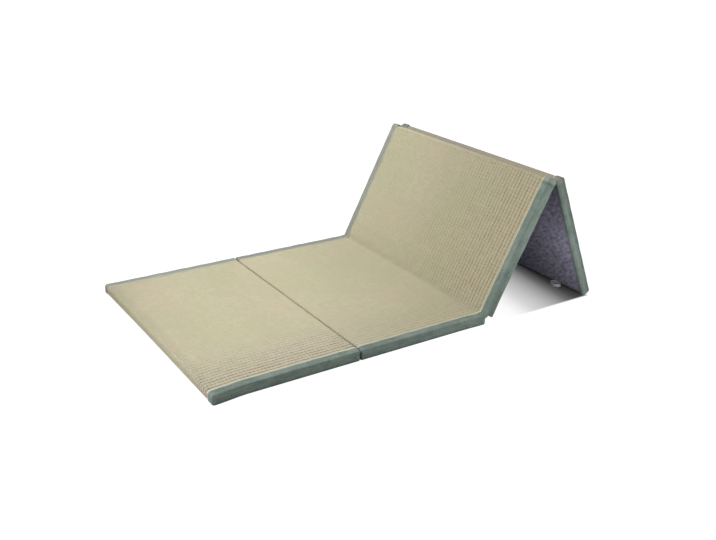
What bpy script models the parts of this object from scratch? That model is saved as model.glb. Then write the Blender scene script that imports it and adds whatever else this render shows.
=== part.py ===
"""A folding tatami mat in four firm panels.

Panels 1 and 2 lie flat, panel 3 leans up from them and panel 4 comes down to the floor behind it.
The mat frame has its origin at the felt-side corner of panel 1's free end: +X runs along the mat,
+Y goes from the near long side to the far one and +Z is up. In a panel's own frame, u runs along its
length from start to end, and v through it from the felt face (0) to the rush face (THICKNESS).
"""
import math

import bmesh
import bpy
from mathutils import Matrix, Vector

# Driving dimensions, in metres
WIDTH = 0.900
PANEL_PITCH = 0.500
THICKNESS = 0.034
FOLD_GAP = 0.005
LEAN_ANGLE = math.radians(61.4)

# Cloth and clearances
CLEARANCE = 0.0003
FELT_THICKNESS = 0.003
BINDING_THICKNESS = 0.0015
BINDING_PROUD = 0.0008
TOP_FLANGE = 0.028
BOTTOM_FLANGE = 0.0125
SIDE_ROUND = 0.003
RUSH_CLOTH = 0.0025
CREASE_ROUND = 0.006
LIP = 0.012
TONGUE_LIFT = 0.0006
FOOT_FLATTENING = 0.0003

# Ribs of the rush face, with a narrow groove between each two
RIB_COUNT = 57
GROOVE_WIDTH = 0.005
GROOVE_DEPTH = 0.001
GROOVE_END = 0.008

# Loop of tape at the foot of panel 4
LOOP_SEMI_WIDTH = 0.022
LOOP_SEMI_DEPTH = 0.015
LOOP_CENTRE_OUT = 0.014
LOOP_Y = -0.331
LOOP_HEIGHT = 0.012
LOOP_LIFT = 0.0006
TAPE_THICKNESS = 0.0016

# How round the corners of each panel's long section are, over the binding
# panel: (rush side at start, felt side at start, rush side at end, felt side at end)
END_RADII = {
    1: (0.0100, 0.0090, 0.0080, 0.0040),
    2: (0.0080, 0.0040, 0.0036, 0.0050),
    3: (0.0036, 0.0050, 0.0070, 0.0040),
    4: (0.0070, 0.0040, 0.0120, 0.0090),
}
# Where the rush matting turns under a panel's end: panel: (at start, at end)
LIPS = {1: (True, False), 2: (False, True), 3: (True, False), 4: (False, True)}

ARC_STEP = math.radians(15)
PANEL_LENGTH = PANEL_PITCH - FOLD_GAP
PAD_BASE = FELT_THICKNESS + CLEARANCE
BODY_HALF = WIDTH / 2 - TOP_FLANGE - CLEARANCE
OVERCUT = 0.010

COLOURS = {
    "rush": (0.58, 0.52, 0.36),
    "binding_cloth": (0.16, 0.21, 0.19),
    "felt": (0.10, 0.09, 0.13),
    "tape": (0.45, 0.45, 0.46),
}


def clear_scene():
    for obj in list(bpy.data.objects):
        bpy.data.objects.remove(obj, do_unlink=True)


def make_collection(name):
    collection = bpy.data.collections.new(name)
    bpy.context.scene.collection.children.link(collection)
    return collection


def make_material(name):
    material = bpy.data.materials.new(name)
    material.use_nodes = True
    shader = material.node_tree.nodes["Principled BSDF"]
    shader.inputs["Base Color"].default_value = (*COLOURS[name], 1.0)
    shader.inputs["Roughness"].default_value = 0.9
    shader.inputs["Metallic"].default_value = 0.0
    return material


# Section geometry

def along(angle):
    """Direction of u for a panel whose length rises at this angle."""
    return Vector((math.cos(angle), math.sin(angle)))


def outward(angle):
    """Direction of v, from the felt face to the rush face."""
    return Vector((-math.sin(angle), math.cos(angle)))


def panel_places(drop_angle):
    """Felt-side start corner and rising angle of each panel, in the mat frame's X and Z."""
    crease = Vector((PANEL_PITCH + PANEL_LENGTH + FOLD_GAP / 2, THICKNESS))
    start_3 = crease + FOLD_GAP / 2 * along(LEAN_ANGLE) - THICKNESS * outward(LEAN_ANGLE)
    ridge = start_3 + (PANEL_LENGTH + FOLD_GAP / 2) * along(LEAN_ANGLE)
    start_4 = ridge + FOLD_GAP / 2 * along(-drop_angle)
    return {
        1: (Vector((0.0, 0.0)), 0.0),
        2: (Vector((PANEL_PITCH, 0.0)), 0.0),
        3: (start_3, LEAN_ANGLE),
        4: (start_4, -drop_angle),
    }


def foot_height(drop_angle):
    """Height of the lowest point of panel 4's rounded rush end."""
    start, angle = panel_places(drop_angle)[4]
    radius = END_RADII[4][3]
    centre = start + (PANEL_LENGTH - radius) * along(angle) + radius * outward(angle)
    return centre.y - radius


def find_drop_angle():
    """Slope at which panel 4 reaches the floor and presses its foot flat there."""
    low, high = math.radians(40), math.radians(88)
    for _ in range(50):
        middle = (low + high) / 2
        if foot_height(middle) > -FOOT_FLATTENING:
            low = middle
        else:
            high = middle
    return low


PLACES = panel_places(find_drop_angle())


def to_mat(panel, u, v):
    """A point of a panel's own frame, in the mat frame's X and Z."""
    start, angle = PLACES[panel]
    return start + u * along(angle) + v * outward(angle)


def corners_to_mat(panel, corners):
    return [(*to_mat(panel, u, v), radius) for u, v, radius in corners]


def rounded_outline(corners):
    """Points of a closed outline whose corners (x, z, radius) are rounded by arcs."""
    points = []
    for index, (x, z, radius) in enumerate(corners):
        corner = Vector((x, z))
        before = (Vector(corners[index - 1][:2]) - corner).normalized()
        after = (Vector(corners[(index + 1) % len(corners)][:2]) - corner).normalized()
        if radius == 0.0:
            points.append(corner)
            continue
        half = before.angle(after) / 2
        centre = corner + (before + after).normalized() * (radius / math.sin(half))
        first = corner + before * (radius / math.tan(half)) - centre
        turn = first.angle_signed(corner + after * (radius / math.tan(half)) - centre)
        steps = max(2, round(abs(turn) / ARC_STEP))
        for step in range(steps + 1):
            points.append(centre + Matrix.Rotation(-turn * step / steps, 2) @ first)
    return points


def lower_corners(panel):
    """Felt-side corners of a pad from its start to its end, with the rush turned under as lips."""
    _, felt_start, _, felt_end = END_RADII[panel]
    lip_start, lip_end = LIPS[panel]
    length = PANEL_LENGTH
    if lip_start:
        corners = [(0.0, 0.0, felt_start), (LIP, 0.0, 0.0), (LIP, PAD_BASE, 0.0)]
    else:
        corners = [(0.0, PAD_BASE, felt_start - PAD_BASE / 2)]
    if lip_end:
        corners += [(length - LIP, PAD_BASE, 0.0), (length - LIP, 0.0, 0.0), (length, 0.0, felt_end)]
    else:
        corners += [(length, PAD_BASE, felt_end - PAD_BASE / 2)]
    return corners


def upper_corner(panel, at_end):
    """Rush-side corner of a pad at its end or at its start."""
    radius = END_RADII[panel][2 if at_end else 0] - BINDING_PROUD
    return (PANEL_LENGTH if at_end else 0.0, THICKNESS, radius)


def capped_outline(panel, inset, base):
    """Outline inside a binding, this far in from its outer face and down to the height base."""
    edge = inset - BINDING_PROUD
    rush_start, felt_start, rush_end, felt_end = (radius - inset for radius in END_RADII[panel])
    top = THICKNESS - edge
    return rounded_outline([
        (edge, base, felt_start),
        (PANEL_LENGTH - edge, base, felt_end),
        (PANEL_LENGTH - edge, top, rush_end),
        (edge, top, rush_start),
    ])


# Solids

def place_in(collection, obj, parent):
    collection.objects.link(obj)
    obj.parent = parent
    return obj


def mark_as_cutter(obj):
    obj.hide_render = True
    obj.display_type = "WIRE"
    return obj


def extruded(name, outlines, depth):
    """A closed mesh object: flat outlines filled and extruded to this depth about their plane."""
    curve = bpy.data.curves.new(name + "_curve", "CURVE")
    curve.dimensions = "2D"
    curve.fill_mode = "BOTH"
    curve.extrude = depth / 2
    for outline in outlines:
        spline = curve.splines.new("POLY")
        spline.points.add(len(outline) - 1)
        for point, place in zip(spline.points, outline):
            point.co = (place[0], place[1], 0.0, 1.0)
        spline.use_cyclic_u = True
    guide = bpy.data.objects.new(name + "_guide", curve)
    bpy.context.scene.collection.objects.link(guide)
    bpy.context.view_layer.update()
    evaluated = guide.evaluated_get(bpy.context.evaluated_depsgraph_get())
    mesh = bpy.data.meshes.new_from_object(evaluated)
    mesh.name = name
    solid = bpy.data.objects.new(name, mesh)
    solid.matrix_world = guide.matrix_world
    bpy.data.objects.remove(guide, do_unlink=True)
    edit = bmesh.new()
    edit.from_mesh(mesh)
    bmesh.ops.remove_doubles(edit, verts=edit.verts, dist=0.00001)
    bmesh.ops.dissolve_limit(edit, angle_limit=math.radians(1), verts=edit.verts, edges=edit.edges)
    bmesh.ops.recalc_face_normals(edit, faces=edit.faces)
    edit.to_mesh(mesh)
    edit.free()
    return solid


def section_solid(name, outline, y_from, y_to):
    """A long section (X and Z) extruded across the mat, from y_from to y_to."""
    solid = extruded(name, [outline], abs(y_to - y_from))
    stand_up = Matrix.Rotation(math.radians(90), 4, "X")
    solid.data.transform(Matrix.Translation((0.0, (y_from + y_to) / 2, 0.0)) @ stand_up)
    return solid


def round_rims(solid, y_values, radius):
    """Bevel the rims of the section's caps that lie at these y values."""
    mesh = solid.data
    weights = mesh.attributes.new("bevel_weight_edge", "FLOAT", "EDGE")
    for edge in mesh.edges:
        heights = [mesh.vertices[index].co.y for index in edge.vertices]
        on_rim = any(all(abs(height - y) < 0.00001 for height in heights) for y in y_values)
        weights.data[edge.index].value = 1.0 if on_rim else 0.0
    bevel = solid.modifiers.new("rounded rim", "BEVEL")
    bevel.limit_method = "WEIGHT"
    bevel.width = radius
    bevel.segments = 3


def block(name, x_range, y_range, z_range):
    """A box between these limits."""
    mesh = bpy.data.meshes.new(name)
    edit = bmesh.new()
    bmesh.ops.create_cube(edit, size=1.0)
    size = [limits[1] - limits[0] for limits in (x_range, y_range, z_range)]
    middle = [(limits[0] + limits[1]) / 2 for limits in (x_range, y_range, z_range)]
    bmesh.ops.scale(edit, vec=size, verts=edit.verts)
    bmesh.ops.translate(edit, vec=middle, verts=edit.verts)
    edit.to_mesh(mesh)
    edit.free()
    return bpy.data.objects.new(name, mesh)


def combine(solid, other, operation):
    modifier = solid.modifiers.new(operation.lower() + " " + other.name, "BOOLEAN")
    modifier.operation = operation
    modifier.solver = "EXACT"
    modifier.object = other


def smooth(solid):
    solid.data.shade_smooth()
    solid.data.set_sharp_from_angle(angle=math.radians(35))


# Pieces of the mat

def make_tongue(panel, frames, cutters):
    """The part of a pad that its two bindings cover."""
    half = WIDTH / 2 - BINDING_THICKNESS - CLEARANCE
    outline = capped_outline(panel, BINDING_THICKNESS + CLEARANCE, PAD_BASE + TONGUE_LIFT)
    tongue = section_solid(f"tongue_{panel}", outline, -half, half)
    round_rims(tongue, (-half, half), SIDE_ROUND - BINDING_THICKNESS - CLEARANCE)
    return mark_as_cutter(place_in(cutters, tongue, frames[panel]))


def make_grooves(panel, frames, cutters):
    """The narrow grooves between the ribs of one panel's rush face."""
    start = GROOVE_END if panel == 3 else -OVERCUT
    end = PANEL_LENGTH - GROOVE_END if panel == 2 else PANEL_LENGTH + OVERCUT
    pitch = 2 * BODY_HALF / RIB_COUNT
    over = 0.0005
    half = GROOVE_WIDTH / 2 * (1 + over / GROOVE_DEPTH)
    triangle = [(-half, over), (0.0, -GROOVE_DEPTH), (half, over)]
    grooves = extruded(f"grooves_{panel}", [triangle], end - start)
    along_u = Matrix.Rotation(math.radians(90), 4, "Z") @ Matrix.Rotation(math.radians(90), 4, "X")
    first = Vector(((start + end) / 2, -pitch * (RIB_COUNT - 2) / 2, THICKNESS))
    grooves.data.transform(Matrix.Translation(first) @ along_u)
    array = grooves.modifiers.new("one between each two ribs", "ARRAY")
    array.count = RIB_COUNT - 1
    array.use_relative_offset = False
    array.use_constant_offset = True
    array.constant_offset_displace = (0.0, pitch, 0.0)
    return mark_as_cutter(place_in(cutters, grooves, frames[panel]))


def make_pad(name, panels, corners, frames, collection, cutters):
    """A rush-covered pad: its section across the open width, its tongues and its ribs."""
    pad = section_solid(name, rounded_outline(corners), -BODY_HALF, BODY_HALF)
    place_in(collection, pad, frames[0])
    smooth(pad)
    for panel in panels:
        combine(pad, make_tongue(panel, frames, cutters), "UNION")
    for panel in panels:
        combine(pad, make_grooves(panel, frames, cutters), "DIFFERENCE")
    return pad


def single_pad_corners(panel):
    corners = lower_corners(panel) + [upper_corner(panel, True), upper_corner(panel, False)]
    return corners_to_mat(panel, corners)


def crease_pad_corners():
    """Panels 2 and 3 as one section, joined at the crease by the rush cloth that runs over both."""
    cloth_back = THICKNESS - RUSH_CLOTH
    crease = PANEL_LENGTH + FOLD_GAP / 2
    corners = corners_to_mat(2, lower_corners(2) + [(PANEL_LENGTH, cloth_back, 0.0)])
    corners += corners_to_mat(3, [(0.0, cloth_back, 0.0)] + lower_corners(3) + [upper_corner(3, True)])
    corners += corners_to_mat(2, [(crease, THICKNESS, CREASE_ROUND), upper_corner(2, False)])
    return corners


def flat_felt_outline():
    start = LIP + CLEARANCE
    end = PANEL_PITCH + PANEL_LENGTH - LIP - CLEARANCE
    return rounded_outline([
        (start, 0.0, 0.0), (end, 0.0, 0.0), (end, FELT_THICKNESS, 0.0), (start, FELT_THICKNESS, 0.0),
    ])


def ridge_felt_outline():
    """The felt under panels 3 and 4, bent round the fold line inside the ridge."""
    start = LIP + CLEARANCE
    end = PANEL_LENGTH - LIP - CLEARANCE
    ridge = PANEL_LENGTH + FOLD_GAP / 2
    half_apex = (math.pi - PLACES[3][1] + PLACES[4][1]) / 2
    outer = ridge + FELT_THICKNESS / math.tan(half_apex)
    corners = corners_to_mat(3, [(start, 0.0, 0.0), (ridge, 0.0, 0.0)])
    corners += corners_to_mat(4, [(end, 0.0, 0.0), (end, FELT_THICKNESS, 0.0)])
    corners += corners_to_mat(3, [(outer, FELT_THICKNESS, FELT_THICKNESS), (start, FELT_THICKNESS, 0.0)])
    return rounded_outline(corners)


def make_felt(name, outline, frames, collection):
    half = WIDTH / 2 - BOTTOM_FLANGE - CLEARANCE
    felt = section_solid(name, outline, -half, half)
    smooth(felt)
    return place_in(collection, felt, frames[0])


def make_binding(name, panel, side, frames, collection, cutters):
    """Cloth wrapped over one long side of a panel and closed over its two corners."""
    outer = side * WIDTH / 2
    opening = side * (WIDTH / 2 - TOP_FLANGE)
    past_opening = opening - side * OVERCUT
    binding = section_solid(name, capped_outline(panel, 0.0, 0.0), opening, outer)
    round_rims(binding, (outer,), SIDE_ROUND)
    smooth(binding)
    place_in(collection, binding, frames[panel])

    cavity_outline = capped_outline(panel, BINDING_THICKNESS, BINDING_THICKNESS)
    cavity_end = outer - side * BINDING_THICKNESS
    cavity = section_solid(name + "_cavity", cavity_outline, past_opening, cavity_end)
    round_rims(cavity, (cavity_end,), SIDE_ROUND - BINDING_THICKNESS)
    combine(binding, mark_as_cutter(place_in(cutters, cavity, frames[panel])), "DIFFERENCE")

    flange_edge = side * (WIDTH / 2 - BOTTOM_FLANGE)
    notch = block(
        name + "_notch",
        (-OVERCUT, PANEL_LENGTH + OVERCUT),
        sorted((past_opening, flange_edge)),
        (-OVERCUT, PAD_BASE + CLEARANCE),
    )
    combine(binding, mark_as_cutter(place_in(cutters, notch, frames[panel])), "DIFFERENCE")
    return binding


def make_loop(frames, collection, cutters):
    """A loop of tape on edge, sewn in at the foot of panel 4's felt and cut to lie against it."""
    height = LOOP_LIFT + LOOP_HEIGHT
    start, angle = PLACES[4]
    face_x = start.x + (height - start.y) / math.tan(angle)
    centre = Vector((face_x - LOOP_CENTRE_OUT, LOOP_Y))
    rings = []
    for inset in (0.0, TAPE_THICKNESS):
        depth = LOOP_SEMI_DEPTH - inset
        width = LOOP_SEMI_WIDTH - inset
        turns = [math.radians(degrees) for degrees in range(0, 360, 10)]
        rings.append([centre + Vector((depth * math.cos(turn), width * math.sin(turn))) for turn in turns])
    loop = extruded("loop_tab", rings, LOOP_HEIGHT)
    loop.data.transform(Matrix.Translation((0.0, 0.0, LOOP_LIFT + LOOP_HEIGHT / 2)))
    place_in(collection, loop, frames[0])
    smooth(loop)
    behind = block(
        "behind_felt_face",
        (0.0, PANEL_LENGTH + OVERCUT),
        (LOOP_Y - 2 * LOOP_SEMI_WIDTH, LOOP_Y + 2 * LOOP_SEMI_WIDTH),
        (-CLEARANCE, THICKNESS),
    )
    combine(loop, mark_as_cutter(place_in(cutters, behind, frames[4])), "DIFFERENCE")
    return loop


def make_frames(collection):
    """Empties: the whole mat (0) and each panel (1 to 4) on its own start corner and slope."""
    root = bpy.data.objects.new("mat_frame", None)
    collection.objects.link(root)
    frames = {0: root}
    for panel, (start, angle) in PLACES.items():
        frame = bpy.data.objects.new(f"panel_frame_{panel}", None)
        place_in(collection, frame, root)
        frame.location = (start.x, 0.0, start.y)
        frame.rotation_euler = (0.0, -angle, 0.0)
        frames[panel] = frame
    return frames


def centre_on_floor(root, solids):
    """Move the whole mat so that the origin is at the bottom centre of its bounding box."""
    bpy.context.view_layer.update()
    graph = bpy.context.evaluated_depsgraph_get()
    x_values = []
    for solid in solids:
        evaluated = solid.evaluated_get(graph)
        x_values += [(evaluated.matrix_world @ vertex.co).x for vertex in evaluated.data.vertices]
    root.location.x = -(min(x_values) + max(x_values)) / 2


def main():
    clear_scene()
    collection = make_collection("tatami_mat")
    cutters = make_collection("cutters")
    frames = make_frames(collection)
    materials = {name: make_material(name) for name in COLOURS}

    pads = [
        make_pad("rush_pad_1", [1], single_pad_corners(1), frames, collection, cutters),
        make_pad("rush_pad_2_3", [2, 3], crease_pad_corners(), frames, collection, cutters),
        make_pad("rush_pad_4", [4], single_pad_corners(4), frames, collection, cutters),
    ]
    felts = [
        make_felt("felt_back_1_2", flat_felt_outline(), frames, collection),
        make_felt("felt_back_3_4", ridge_felt_outline(), frames, collection),
    ]
    bindings = {}
    for panel in PLACES:
        for side_name, side in (("near", -1), ("far", 1)):
            name = f"edge_binding_{panel}_{side_name}"
            bindings[name] = make_binding(name, panel, side, frames, collection, cutters)
    loop = make_loop(frames, collection, cutters)

    foot_x = to_mat(4, PANEL_LENGTH, 0.0).x
    floor = block(
        "below_floor",
        (foot_x - 10 * OVERCUT, foot_x + 10 * OVERCUT),
        (-WIDTH, WIDTH),
        (-2 * OVERCUT, 0.0),
    )
    mark_as_cutter(place_in(cutters, floor, frames[0]))
    for solid in (pads[2], bindings["edge_binding_4_near"], bindings["edge_binding_4_far"]):
        combine(solid, floor, "DIFFERENCE")

    for solids, material in (
        (pads, "rush"), (bindings.values(), "binding_cloth"), (felts, "felt"), ([loop], "tape"),
    ):
        for solid in solids:
            solid.data.materials.append(materials[material])
    centre_on_floor(frames[0], [*pads, *felts, *bindings.values(), loop])


main()
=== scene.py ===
import math

import bmesh
import bpy
import numpy as np
from mathutils import Matrix, Vector


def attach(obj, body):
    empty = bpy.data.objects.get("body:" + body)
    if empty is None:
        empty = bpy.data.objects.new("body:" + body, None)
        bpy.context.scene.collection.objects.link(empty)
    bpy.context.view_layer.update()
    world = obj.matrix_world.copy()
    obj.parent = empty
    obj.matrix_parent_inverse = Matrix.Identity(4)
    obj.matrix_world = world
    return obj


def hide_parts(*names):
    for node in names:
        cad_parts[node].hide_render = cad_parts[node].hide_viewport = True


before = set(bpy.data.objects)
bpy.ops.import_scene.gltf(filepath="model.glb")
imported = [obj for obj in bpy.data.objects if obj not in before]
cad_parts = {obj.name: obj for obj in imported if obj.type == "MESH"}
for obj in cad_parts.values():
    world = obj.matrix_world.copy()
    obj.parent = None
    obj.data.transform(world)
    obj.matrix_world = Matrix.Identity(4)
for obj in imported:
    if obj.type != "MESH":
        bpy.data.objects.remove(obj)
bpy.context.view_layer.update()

# The mat's own measures, in metres, as in its CAD source
WIDTH = 0.900
PANEL_PITCH = 0.500
THICKNESS = 0.034
FOLD_GAP = 0.005
PANEL_LENGTH = PANEL_PITCH - FOLD_GAP
LEAN_ANGLE = math.radians(61.4)
DROP_ANGLE = math.radians(67.542574)
CENTRE_SHIFT = -0.742316
CLEARANCE = 0.0003
FELT_THICKNESS = 0.003
PAD_BASE = FELT_THICKNESS + CLEARANCE
BINDING_PROUD = 0.0008
TOP_FLANGE = 0.028
BOTTOM_FLANGE = 0.0125
SIDE_ROUND = 0.003
RUSH_CLOTH = 0.0025
CREASE_ROUND = 0.006
LIP = 0.012
BODY_HALF = WIDTH / 2 - TOP_FLANGE - CLEARANCE
RIB_COUNT = 57
RIB_PITCH = 2 * BODY_HALF / RIB_COUNT
LOOP_SEMI_WIDTH = 0.022
LOOP_SEMI_DEPTH = 0.015
LOOP_CENTRE_OUT = 0.014
LOOP_Y = -0.331
LOOP_HEIGHT = 0.012
LOOP_LIFT = 0.0006

# panel: (rush side at start, felt side at start, rush side at end, felt side at end)
END_RADII = {
    1: (0.0100, 0.0090, 0.0080, 0.0040),
    2: (0.0080, 0.0040, 0.0036, 0.0050),
    3: (0.0036, 0.0050, 0.0070, 0.0040),
    4: (0.0070, 0.0040, 0.0120, 0.0090),
}
LIPS = {1: (True, False), 2: (False, True), 3: (True, False), 4: (False, True)}

# Cloth and rush as they lie on the pads
CLOTH_THICKNESS = 0.0007
SELVEDGE_WIDTH = 0.0046
VALLEY_DEPTH = 0.0012
TONGUE_DROP = 0.0014
LOWEST = 0.0001
# Spacing of points along the mat: on faces that show, on the bindings' ends, on the felts and on hidden faces
FACE_STEP = 0.0036
END_STEP = 0.003
FLAT_FELT_STEP = 0.006
TENT_FELT_STEP = 0.005
HIDDEN_STEP = 0.045
# For panels: how far the binding's folds stand out in the ridge, the painted light and shade on the binding, and how
# pale its selvedge
RIDGE_SWELL = {3: 0.0095, 4: 0.0045}
CLOTH_PAINTED_LIGHT = {1: 1.02, 2: 0.96, 3: 1.06, 4: 0.76}
SELVEDGE_PALE = {1: 0.50, 2: 0.50, 3: 0.15, 4: 0.30}
FAR_FADE = 0.50
# The felt's fibres were pressed aslant: their angle to the mat's length, and how much longer lumps are that way
FELT_SLANT = math.atan2(0.825, 0.566)
FELT_STRETCH = 2.2


# Places in the long section

def along(angle):
    """Direction of u for a panel whose length rises at this angle."""
    return np.array((math.cos(angle), math.sin(angle)))


def outward(angle):
    """Direction of v, from the felt face to the rush face."""
    return np.array((-math.sin(angle), math.cos(angle)))


def panel_places():
    """Felt-side start corner and rising angle of each panel, in the row frame's X and Z."""
    crease = np.array((PANEL_PITCH + PANEL_LENGTH + FOLD_GAP / 2, THICKNESS))
    start_3 = crease + FOLD_GAP / 2 * along(LEAN_ANGLE) - THICKNESS * outward(LEAN_ANGLE)
    ridge = start_3 + (PANEL_LENGTH + FOLD_GAP / 2) * along(LEAN_ANGLE)
    start_4 = ridge + FOLD_GAP / 2 * along(-DROP_ANGLE)
    shift = np.array((CENTRE_SHIFT, 0.0))
    return {
        1: (shift, 0.0),
        2: (shift + np.array((PANEL_PITCH, 0.0)), 0.0),
        3: (shift + start_3, LEAN_ANGLE),
        4: (shift + start_4, -DROP_ANGLE),
    }


PLACES = panel_places()
JOINT_X = CENTRE_SHIFT + PANEL_LENGTH + FOLD_GAP / 2


def to_row(panel, u, v):
    """The row frame's X and Z of a panel's place (u, v); columns of u and v give a place to a line."""
    start, angle = PLACES[panel]
    return start + u * along(angle) + v * outward(angle)


def in_panel(panel, points):
    """Places (u, v) in a panel's own frame of points in the row frame's X and Z."""
    start, angle = PLACES[panel]
    return (points - start) @ along(angle), (points - start) @ outward(angle)


def unit(vector):
    return vector / np.linalg.norm(vector)


class Outline:
    """A closed outline with rounded corners and points spaced along its edges.

    Corners are (x, z, radius, show, step): show is how much the edge after the corner shows the
    worked face, from 0 to 1, and step is the spacing of the points on that edge.
    """

    def __init__(self, corners, arc_step=math.radians(9)):
        places = np.array([corner[:2] for corner in corners], float)
        count = len(corners)
        points, shows, edge_starts = [], [], []
        for index, (_, _, radius, show, _) in enumerate(corners):
            corner = places[index]
            before = unit(places[index - 1] - corner)
            after = unit(places[(index + 1) % count] - corner)
            show_before = corners[index - 1][3]
            if radius <= 0.0:
                arc = [corner]
            else:
                half = math.acos(np.clip(before @ after, -1, 1)) / 2
                centre = corner + unit(before + after) * (radius / math.sin(half))
                first = corner + before * (radius / math.tan(half)) - centre
                last = corner + after * (radius / math.tan(half)) - centre
                turn = math.atan2(first[0] * last[1] - first[1] * last[0], first @ last)
                steps = max(3, math.ceil(abs(turn) / arc_step))
                arc = []
                for step in range(steps + 1):
                    c, s = math.cos(turn * step / steps), math.sin(turn * step / steps)
                    arc.append(centre + np.array((c * first[0] - s * first[1], s * first[0] + c * first[1])))
            for number, point in enumerate(arc):
                part = number / max(1, len(arc) - 1)
                points.append(point)
                shows.append(show_before * (1 - part) + show * part)
            edge_starts.append(len(points) - 1)
        self.points, self.show = self._spaced(points, shows, dict(zip(edge_starts, corners)))
        ahead = np.roll(self.points, -1, 0) - self.points
        steps = np.linalg.norm(ahead, axis=1)
        way = ahead / steps[:, None]
        tangent = way + np.roll(way, 1, 0)
        tangent /= np.linalg.norm(tangent, axis=1)[:, None]
        self.normals = np.stack((tangent[:, 1], -tangent[:, 0]), 1)
        self.run = np.concatenate(([0.0], np.cumsum(steps)[:-1]))
        self.length = float(steps.sum())

    @staticmethod
    def _spaced(points, shows, edges):
        """The outline with its straight edges cut to their steps. edges: number of first point: corner."""
        out, show_out = [], []
        for index, point in enumerate(points):
            out.append(point)
            show_out.append(shows[index])
            if index not in edges:
                continue
            _, _, _, show, spacing = edges[index]
            following = points[(index + 1) % len(points)]
            pieces = max(1, round(np.linalg.norm(following - point) / spacing))
            for step in range(1, pieces):
                out.append(point + (following - point) * step / pieces)
                show_out.append(show)
        return np.array(out), np.array(show_out)


def shown(u, v, radius=0.0, step=FACE_STEP):
    """A corner of a panel's section whose next edge shows."""
    return (u, v, radius, 1.0, step)


def hidden(u, v, radius=0.0):
    return (u, v, radius, 0.0, HIDDEN_STEP)


def lower_corners(panel):
    """Felt-side corners of a pad from its start to its end, with the rush turned under as lips."""
    _, felt_start, _, felt_end = END_RADII[panel]
    lip_start, lip_end = LIPS[panel]
    length = PANEL_LENGTH
    if lip_start:
        corners = [shown(0.0, 0.0, felt_start), hidden(LIP, 0.0), hidden(LIP, PAD_BASE)]
    else:
        corners = [hidden(0.0, PAD_BASE, felt_start - PAD_BASE / 2)]
    if lip_end:
        return corners + [hidden(length - LIP, PAD_BASE), shown(length - LIP, 0.0), shown(length, 0.0, felt_end)]
    return corners + [shown(length, PAD_BASE, felt_end - PAD_BASE / 2)]


def upper_corner(panel, at_end):
    radius = END_RADII[panel][2 if at_end else 0] - BINDING_PROUD
    return shown(PANEL_LENGTH if at_end else 0.0, THICKNESS, radius)


def in_row(panel, corners):
    return [(*to_row(panel, u, v), radius, show, step) for u, v, radius, show, step in corners]


def single_pad_corners(panel):
    return in_row(panel, lower_corners(panel) + [upper_corner(panel, True), upper_corner(panel, False)])


def crease_pad_corners():
    """Panels 2 and 3 as one section: the rush cloth runs over both and is bent at the crease."""
    cloth_back = THICKNESS - RUSH_CLOTH
    corners = in_row(2, lower_corners(2) + [hidden(PANEL_LENGTH, cloth_back)])
    corners += in_row(3, [shown(0.0, cloth_back)] + lower_corners(3) + [upper_corner(3, True)])
    fold = shown(PANEL_LENGTH + FOLD_GAP / 2, THICKNESS, CREASE_ROUND)
    corners += in_row(2, [fold, upper_corner(2, False)])
    return corners


# How the soft mat lies a little out of square

def lie(points):
    """Moves points (x, y, z) as the real mat lies: its corners are pulled a little out of square."""
    x, y, z = points[..., 0], points[..., 1], points[..., 2]
    far = np.clip(y / WIDTH + 0.5, 0, 1)
    near = 1 - far
    moved = points.copy()
    # The free end is pulled out, most at its far corner, and sideways at its near one
    from_free_end = x - CENTRE_SHIFT
    moved[..., 0] -= ease(0.22, 0.0, from_free_end) * (0.0010 + 0.0028 * far + 0.0084 * far ** 2)
    moved[..., 1] -= ease(0.12, 0.0, from_free_end) * 0.0095 * near
    # The crease stands out at its near end, and the joint between the lying panels runs aslant
    crease = to_row(2, PANEL_LENGTH, THICKNESS)
    moved[..., 1] -= ease(0.10, 0.0, np.hypot(x - crease[0], z - crease[1])) * 0.0028 * near
    aslant = 0.0065 * near ** 1.5 * ease(1.005, 0.955, near)
    moved[..., 0] += ease(0.16, 0.0, np.abs(x - JOINT_X)) * (z < 0.05) * aslant
    # The tent leans back and out at its far side, and its foot is drawn away at the near side
    rise = np.clip((z - 0.04) / 0.39, 0, 1)
    moved[..., 0] -= (0.0018 * ease(0.03, 0.06, z) + 0.0045 * rise ** 0.6) * far
    moved[..., 1] += 0.0060 * rise * far
    ridge, foot = PLACES[4][0][0], to_row(4, PANEL_LENGTH, 0.0)[0]
    past_ridge = np.clip((x - ridge) / (foot - ridge), 0, 1.2)
    moved[..., 0] += 0.0068 * past_ridge ** 0.7 * near
    return moved


# Cloth and rush as meshes

def soft_field(rng, x, y, cell_x, cell_y):
    """Smooth random heights from about -1 to 1 over a field of points."""
    grid_x, grid_y = x / cell_x, y / cell_y
    grid_x, grid_y = grid_x - grid_x.min(), grid_y - grid_y.min()
    table = rng.uniform(-1, 1, (int(grid_x.max()) + 2, int(grid_y.max()) + 2))
    i, j = grid_x.astype(int), grid_y.astype(int)
    a, b = grid_x - i, grid_y - j
    a, b = a * a * (3 - 2 * a), b * b * (3 - 2 * b)
    low = table[i, j] * (1 - a) + table[i + 1, j] * a
    high = table[i, j + 1] * (1 - a) + table[i + 1, j + 1] * a
    return low * (1 - b) + high * b


def ease(low, high, value):
    t = np.clip((value - low) / (high - low), 0, 1)
    return t * t * (3 - 2 * t)


def grid_faces(rows, columns, closed_rows=False, closed_columns=False):
    """Corner numbers of the quads between neighbouring rows and columns."""
    numbers = np.arange(rows * columns).reshape(rows, columns)
    if closed_rows:
        numbers = np.vstack((numbers, numbers[:1]))
    if closed_columns:
        numbers = np.hstack((numbers, numbers[:, :1]))
    quads = (numbers[:-1, :-1], numbers[1:, :-1], numbers[1:, 1:], numbers[:-1, 1:])
    return np.stack([quad.ravel() for quad in quads], 1).tolist()


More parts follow.
